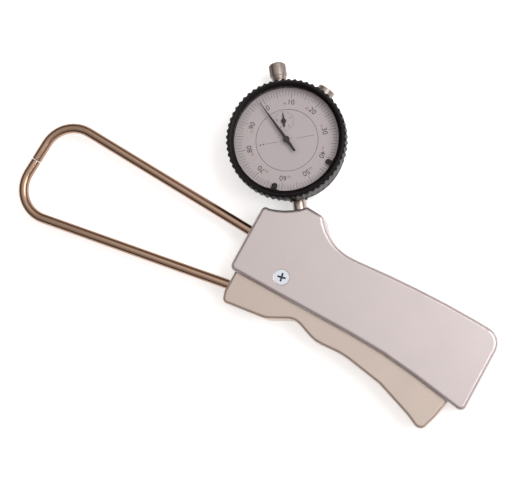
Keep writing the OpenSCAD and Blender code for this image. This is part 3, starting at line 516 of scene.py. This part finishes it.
def tick_tree():
    """Ring of ticks that point to the centre: each fifth is longer, and each tenth longer still."""
    tree = bpy.data.node_groups.new("tick_ring", "GeometryNodeTree")
    inputs = {name: tree.interface.new_socket(name, in_out="INPUT", socket_type=kind).identifier
              for name, kind in TICK_INPUTS.items()}
    tree.interface.new_socket("Geometry", in_out="OUTPUT", socket_type="NodeSocketGeometry")
    given = add(tree, "NodeGroupInput").outputs

    def maths(operation, a, b=0.0):
        return add(tree, "ShaderNodeMath", {0: a, 1: b}, operation=operation).outputs[0]

    index = add(tree, "GeometryNodeInputIndex").outputs[0]
    step = maths("DIVIDE", 2 * math.pi, given["Count"])
    heading = maths("SUBTRACT", given["Zero"], maths("MULTIPLY", index, step))

    def every(n):
        # a quarter is added, so that rounding can't push an exact multiple below zero
        return maths("LESS_THAN", maths("MODULO", maths("ADD", index, 0.25), float(n)), 0.5)

    longer = maths("MULTIPLY", every(5), maths("SUBTRACT", given["Middle"], given["Short"]))
    longest = maths("MULTIPLY", every(10), maths("SUBTRACT", given["Long"], given["Middle"]))
    reach = maths("ADD", given["Short"], maths("ADD", longer, longest))
    # a short tick is printed finer than the stated width, and a longer one a little heavier
    finer, heavier = 0.8, 0.3
    weight = maths("ADD", finer, maths("MULTIPLY", every(5), heavier))
    wide = maths("MULTIPLY", given["Width"], weight)
    middle = maths("SUBTRACT", given["Outer Radius"], maths("MULTIPLY", reach, 0.5))
    spot = add(tree, "ShaderNodeCombineXYZ", {
        "X": maths("MULTIPLY", middle, maths("COSINE", heading)),
        "Y": maths("MULTIPLY", middle, maths("SINE", heading)),
        "Z": maths("MULTIPLY", given["Ink"], 0.5)})
    points = add(tree, "GeometryNodePoints", {
        "Count": given["Count"], "Position": spot.outputs[0]})
    tick = add(tree, "GeometryNodeMeshCube", {"Size": (1, 1, 1)})
    turn = add(tree, "ShaderNodeCombineXYZ", {"Z": heading})
    size = add(tree, "ShaderNodeCombineXYZ", {"X": reach, "Y": wide, "Z": given["Ink"]})
    # rotation and scale are worked out on the points, where the index is the tick's own number
    placed = add(tree, "GeometryNodeInstanceOnPoints", {
        "Points": points.outputs[0], "Instance": tick.outputs["Mesh"],
        "Rotation": turn.outputs[0], "Scale": size.outputs[0]})
    real = add(tree, "GeometryNodeRealizeInstances", {"Geometry": placed.outputs[0]})
    inked = add(tree, "GeometryNodeSetMaterial", {
        "Geometry": real.outputs[0], "Material": given["Material"]})
    out = add(tree, "NodeGroupOutput")
    tree.links.new(inked.outputs[0], out.inputs["Geometry"])
    return tree, inputs


def tick_ring(values):
    """Mesh of one ring, from a value for each of TICK_INPUTS."""
    box_faces = 6
    tree, inputs = tick_tree()
    holder = into_scene("tick_ring", bpy.data.meshes.new("tick_ring"))
    modifier = holder.modifiers.new("tick_ring", "NODES")
    modifier.node_group = tree
    for name, identifier in inputs.items():
        modifier[identifier] = values[name]
    mesh = evaluated_mesh(holder)
    bpy.data.objects.remove(holder)
    wanted = values["Count"] * box_faces
    if len(mesh.polygons) != wanted:
        raise RuntimeError("the tick ring has %d faces, not %d" % (len(mesh.polygons), wanted))
    return mesh


# ------------------------------------------------------------------ operators, one for each group

class FinishCastings(bpy.types.Operator):
    """Satin cast handle and lever"""
    bl_idname = "caliper.finish_castings"
    bl_label = "Castings"

    def execute(self, context):
        smoothed("housing", cast_metal())
        smoothed("lever", lever_metal())
        return {"FINISHED"}


class FinishRods(bpy.types.Operator):
    """Polished jaw rods"""
    bl_idname = "caliper.finish_rods"
    bl_label = "Jaw rods"

    def execute(self, context):
        for node in ("fixed_jaw_rod", "moving_jaw_rod"):
            smoothed(node, plated_rod())
        return {"FINISHED"}


class FinishFasteners(bpy.types.Operator):
    """Pivot, its screw and the grub screws"""
    bl_idname = "caliper.finish_fasteners"
    bl_label = "Pivot and screws"

    def execute(self, context):
        screw = smoothed("pivot_screw", bright_screw()).data
        screw.materials.append(recess_shadow())
        # The cross recess, which gets the painted shade, is what lies this far below the head's
        # top, and this near its axis, which is the object's own
        head_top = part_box("pivot_screw")[1].z
        floor, rim, reach = head_top - 1.6 * MM, head_top - 0.25 * MM, 2.2 * MM
        for face in screw.polygons:
            if floor < face.center.z < rim and math.hypot(*face.center.xy) < reach:
                face.material_index = 1
        smoothed("pivot_barrel", ground_steel())
        smoothed("pivot_bush", bronze())
        for node in ("fixed_rod_screw", "moving_rod_screw", "stem_screw"):
            smoothed(node, black_oxide())
        return {"FINISHED"}


class FinishIndicator(bpy.types.Operator):
    """Case, back, stem, cap and spindle of the dial indicator"""
    bl_idname = "caliper.finish_indicator"
    bl_label = "Indicator case and stem"

    def execute(self, context):
        for node in ("indicator_case", "case_back"):
            smoothed(node, case_black())
        for node in ("indicator_stem", "upper_bush", "spindle", "contact_point", "anvil",
                     "case_back_screws"):
            smoothed(node, ground_steel())
        smoothed("spindle_cap", knurled_plating())
        return {"FINISHED"}


class FinishBezel(bpy.types.Operator):
    """Gripped bezel with its crystal, limit markers and lock"""
    bl_idname = "caliper.finish_bezel"
    bl_label = "Bezel"

    def execute(self, context):
        for node in ("bezel", "limit_marker_right", "limit_marker_left"):
            smoothed(node, satin_black())
        smoothed("crystal", clear_crystal())
        smoothed("bezel_lock_screw", knurled_plating())
        finish_inside(("bezel_lock_shoe", "bezel_snap_ring"), ground_steel())
        return {"FINISHED"}


class FinishDial(bpy.types.Operator):
    """Silvered dial plates and both hands"""
    bl_idname = "caliper.finish_dial"
    bl_label = "Dial and hands"

    def execute(self, context):
        for node in ("dial_plate", "scale_ring"):
            smoothed(node, dial_silver())
        for node in ("main_hand", "counter_hand"):
            smoothed(node, hand_lacquer())
        return {"FINISHED"}


class PrintScale(bpy.types.Operator):
    """Ticks and figures of the scale, which turns with the bezel"""
    bl_idname = "caliper.print_scale"
    bl_label = "Scale print"

    def execute(self, context):
        s = sizes()
        ticks = tick_ring({
            "Count": s.divisions, "Outer Radius": s.tick_outer, "Short": s.tick_short,
            "Middle": s.tick_middle, "Long": s.tick_long, "Width": s.tick_width, "Ink": s.ink,
            "Zero": s.zero_turn, "Material": black_print()})
        printed("scale_ticks", ticks, "bezel")
        # Each large figure has a small one beside it, nearer the centre, that counts down from 100
        round_dial = 10
        inward, aside = 0.9 * MM, 2.9 * MM
        figures, counters = [], []
        for k in range(round_dial):
            heading = s.zero_turn - 2 * math.pi * k / round_dial
            out = Vector((math.cos(heading), math.sin(heading)))
            side = Vector((-out.y, out.x))
            turn = heading - math.pi / 2
            at = out * s.figure_radius
            figures.append((str(10 * k), s.figure_size, at.x, at.y, turn))
            if k:
                beside = out * (s.figure_radius - inward) + side * aside
                counters.append((str(100 - 10 * k), s.counter_size, beside.x, beside.y, turn))
        printed("scale_figures", lettering(figures, black_print(), s.ink), "bezel")
        printed("scale_counter_figures", lettering(counters, red_print(), s.ink), "bezel")
        return {"FINISHED"}


class PrintPlate(bpy.types.Operator):
    """Turn counter, its figures and the lines on the inner plate"""
    bl_idname = "caliper.print_plate"
    bl_label = "Plate print"

    def execute(self, context):
        s = sizes()
        centre = dial_place().inverted() @ Vector(JOINTS["counter_hand_spin"]["pos_m"])
        up = math.pi / 2
        ring = tick_ring({
            "Count": 50, "Outer Radius": 5.0 * MM, "Short": 0.5 * MM, "Middle": 0.7 * MM,
            "Long": 0.9 * MM, "Width": 0.13 * MM, "Ink": s.ink, "Zero": up,
            "Material": black_print()})
        ring.transform(Matrix.Translation((centre.x, centre.y, 0)))
        printed("counter_ticks", ring, "handle")

        turns, size, radius = 10, 1.5 * MM, 3.4 * MM
        figures = []
        for k in range(0, turns, 2):
            heading = up - 2 * math.pi * k / turns
            figures.append((str(k), size, centre.x + radius * math.cos(heading),
                            centre.y + radius * math.sin(heading), 0))
        printed("counter_figures", lettering(figures, black_print(), s.ink), "handle")

        # A line runs out to each side of the hub, and two dots lie beyond the left one
        line_width = 0.15 * MM
        dot_long, dot_wide = 0.6 * MM, 0.7 * MM
        marks = [(-7.4 * MM, 0, 6.0 * MM, line_width), (9.3 * MM, 0, 8.8 * MM, line_width),
                 (-11.6 * MM, 0, dot_long, dot_wide), (-13.2 * MM, 0, dot_long, dot_wide)]
        printed("plate_lines", bars(marks, black_print(), s.ink), "handle")
        return {"FINISHED"}


class FinishMovement(bpy.types.Operator):
    """Wheels, plates and springs behind the dial, and the return spring"""
    bl_idname = "caliper.finish_movement"
    bl_label = "Movement and springs"

    def execute(self, context):
        finish_inside(("middle_plate", "rear_bridge", "bridge_posts", "spring_anchor",
                       "first_wheel", "second_wheel"), movement_brass())
        finish_inside(("rack_pinion", "centre_pinion", "guide_pin", "plate_screws"),
                      ground_steel())
        finish_inside(("spindle_spring", "hairspring"), spring_wire())
        # One end sits in the handle and the other on the lever, so on the real caliper the coils
        # close up as the lever is squeezed; here the spring stays where it is
        low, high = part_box("return_spring")
        middle = (low + high) / 2
        smoothed("return_spring", spring_wire(), (
            frame["nodes"]["housing"]["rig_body"], frame["nodes"]["lever"]["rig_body"],
            (middle.x, high.y, middle.z), (middle.x, low.y, middle.z)))
        return {"FINISHED"}


# ------------------------------------------------------------------ studio

# Directions on the floor that run right and up in the camera's picture
PICTURE_RIGHT = (0.847, 0.531, 0)
PICTURE_UP = (-0.531, 0.847, 0)


class SetStage(bpy.types.Operator):
    """Floor, light and camera"""
    bl_idname = "caliper.set_stage"
    bl_label = "Studio"

    def execute(self, context):
        self.floor()
        self.world(context)
        self.lamp("key", place=(0.5, 0.45, 0.9), spread=(0.8, 0.6), power=6.5)
        self.lamp("fill", place=(-0.1, 0.3, 1.2), spread=(0.9, 0.9), power=1.5)
        self.camera(context)
        context.scene.view_settings.view_transform = "Standard"
        return {"FINISHED"}

    def floor(self):
        clearance = 0.05 * MM
        glow_strength = 0.5
        half = sizes().floor_size / 2
        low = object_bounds()[0][2] - clearance
        corners = [(-half, -half, low), (half, -half, low), (half, half, low), (-half, half, low)]
        mesh = bpy.data.meshes.new("floor")
        mesh.from_pydata(corners, [], [(0, 1, 2, 3)])
        # Seamless paper: it glows a little for the eye and for reflections, so that it is white
        # but keeps the shadow
        material, tree, surface = start("paper_floor")
        surface.inputs["Base Color"].default_value = (*colours().floor, 1)
        surface.inputs["Roughness"].default_value = 0.9
        path = add(tree, "ShaderNodeLightPath").outputs
        seen = path["Is Camera Ray"]
        for ray in ("Is Glossy Ray", "Is Transmission Ray"):
            seen = add(tree, "ShaderNodeMath", {0: seen, 1: path[ray]},
                       operation="MAXIMUM").outputs[0]
        glow = add(tree, "ShaderNodeMath", {0: seen, 1: glow_strength}, operation="MULTIPLY")
        surface.inputs["Emission Color"].default_value = (1, 1, 1, 1)
        tree.links.new(glow.outputs[0], surface.inputs["Emission Strength"])
        mesh.materials.append(material)
        into_scene("floor", mesh)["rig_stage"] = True

    def world(self, context):
        """Pale sky overhead that falls to brown at the left, as a dark wall does in metal."""
        left, middle, right, overhead = [
            (*linear(code), 1) for code in ("33221A", "7E6557", "CDBFB8", "F6F2F0")]
        strength = 0.68
        world = bpy.data.worlds.new("studio")
        world.use_nodes = True
        tree = world.node_tree
        tree.nodes.clear()
        way = add(tree, "ShaderNodeTexCoord").outputs["Generated"]
        across = add(tree, "ShaderNodeVectorMath", {0: way, 1: PICTURE_RIGHT},
                     operation="DOT_PRODUCT")
        side = add(tree, "ShaderNodeMapRange", {
            "Value": across.outputs["Value"], "From Min": -0.7, "From Max": 0.7})
        ramp = add(tree, "ShaderNodeValToRGB", {"Fac": side.outputs["Result"]})
        ramp.color_ramp.elements[0].color = left
        ramp.color_ramp.elements[1].color = right
        ramp.color_ramp.elements.new(0.5).color = middle
        up = add(tree, "ShaderNodeSeparateXYZ", {"Vector": way})
        high = add(tree, "ShaderNodeMapRange", {
            "Value": up.outputs["Z"], "From Min": 0.3, "From Max": 0.95},
                   interpolation_type="SMOOTHSTEP")
        sky = add(tree, "ShaderNodeMix", {"Factor": high.outputs["Result"]}, data_type="RGBA")
        tree.links.new(ramp.outputs["Color"], sky.inputs["A"])
        sky.inputs["B"].default_value = overhead
        light = add(tree, "ShaderNodeBackground", {
            "Color": sky.outputs["Result"], "Strength": strength})
        out = add(tree, "ShaderNodeOutputWorld")
        tree.links.new(light.outputs[0], out.inputs["Surface"])
        context.scene.world = world

    def lamp(self, name, place, spread, power):
        """Rectangular lamp that points at the middle of the caliper."""
        target = Vector((-0.02, 0.01, 0.01))
        data = bpy.data.lights.new(name, "AREA")
        data.shape = "RECTANGLE"
        data.size, data.size_y = spread
        data.energy = power
        light = into_scene(name, data)
        light.rotation_euler = (target - Vector(place)).to_track_quat("-Z", "Y").to_euler()
        light.location = place

    def camera(self, context):
        """The photograph's own view, from nearly straight above."""
        eye = Vector((100.55, -4.72, 600.5)) * MM
        target = Vector((-18.2, 5.8, 10.5)) * MM
        data = bpy.data.cameras.new("camera")
        data.sensor_fit = "HORIZONTAL"
        data.sensor_width = 36
        data.lens = 85.4
        data.clip_start = 0.01
        data.clip_end = 20
        back = (eye - target).normalized()
        right = Vector(PICTURE_UP).cross(back).normalized()
        turned = Matrix((right, back.cross(right), back)).transposed().to_4x4()
        camera = into_scene("camera", data)
        camera.matrix_world = Matrix.Translation(eye) @ turned
        context.scene.camera = camera


# ------------------------------------------------------------------ add-on

OPERATORS = (FinishCastings, FinishRods, FinishFasteners, FinishIndicator, FinishBezel, FinishDial,
             PrintScale, PrintPlate, FinishMovement, SetStage)


class CaliperPanel(bpy.types.Panel):
    """Lists the sizes, the colours and the steps that finish the caliper"""
    bl_idname = "VIEW3D_PT_caliper"
    bl_label = "Skinfold caliper"
    bl_space_type = "VIEW_3D"
    bl_region_type = "UI"
    bl_category = "Caliper"

    def draw(self, context):
        for group in (context.scene.caliper_sizes, context.scene.caliper_colours):
            box = self.layout.box()
            for key in group.__annotations__:
                box.prop(group, key)
        for operator in OPERATORS:
            self.layout.operator(operator.bl_idname)


CLASSES = (CaliperSizes, CaliperColours, *OPERATORS, CaliperPanel)


def register():
    for cls in CLASSES:
        bpy.utils.register_class(cls)
    bpy.types.Scene.caliper_sizes = bpy.props.PointerProperty(type=CaliperSizes)
    bpy.types.Scene.caliper_colours = bpy.props.PointerProperty(type=CaliperColours)


def unregister():
    del bpy.types.Scene.caliper_colours
    del bpy.types.Scene.caliper_sizes
    for cls in reversed(CLASSES):
        bpy.utils.unregister_class(cls)


def main():
    register()
    bpy.ops.caliper.finish_castings()
    bpy.ops.caliper.finish_rods()
    bpy.ops.caliper.finish_fasteners()
    bpy.ops.caliper.finish_indicator()
    bpy.ops.caliper.finish_bezel()
    bpy.ops.caliper.finish_dial()
    bpy.ops.caliper.print_scale()
    bpy.ops.caliper.print_plate()
    bpy.ops.caliper.finish_movement()
    bpy.ops.caliper.set_stage()


if __name__ == "__main__":
    main()
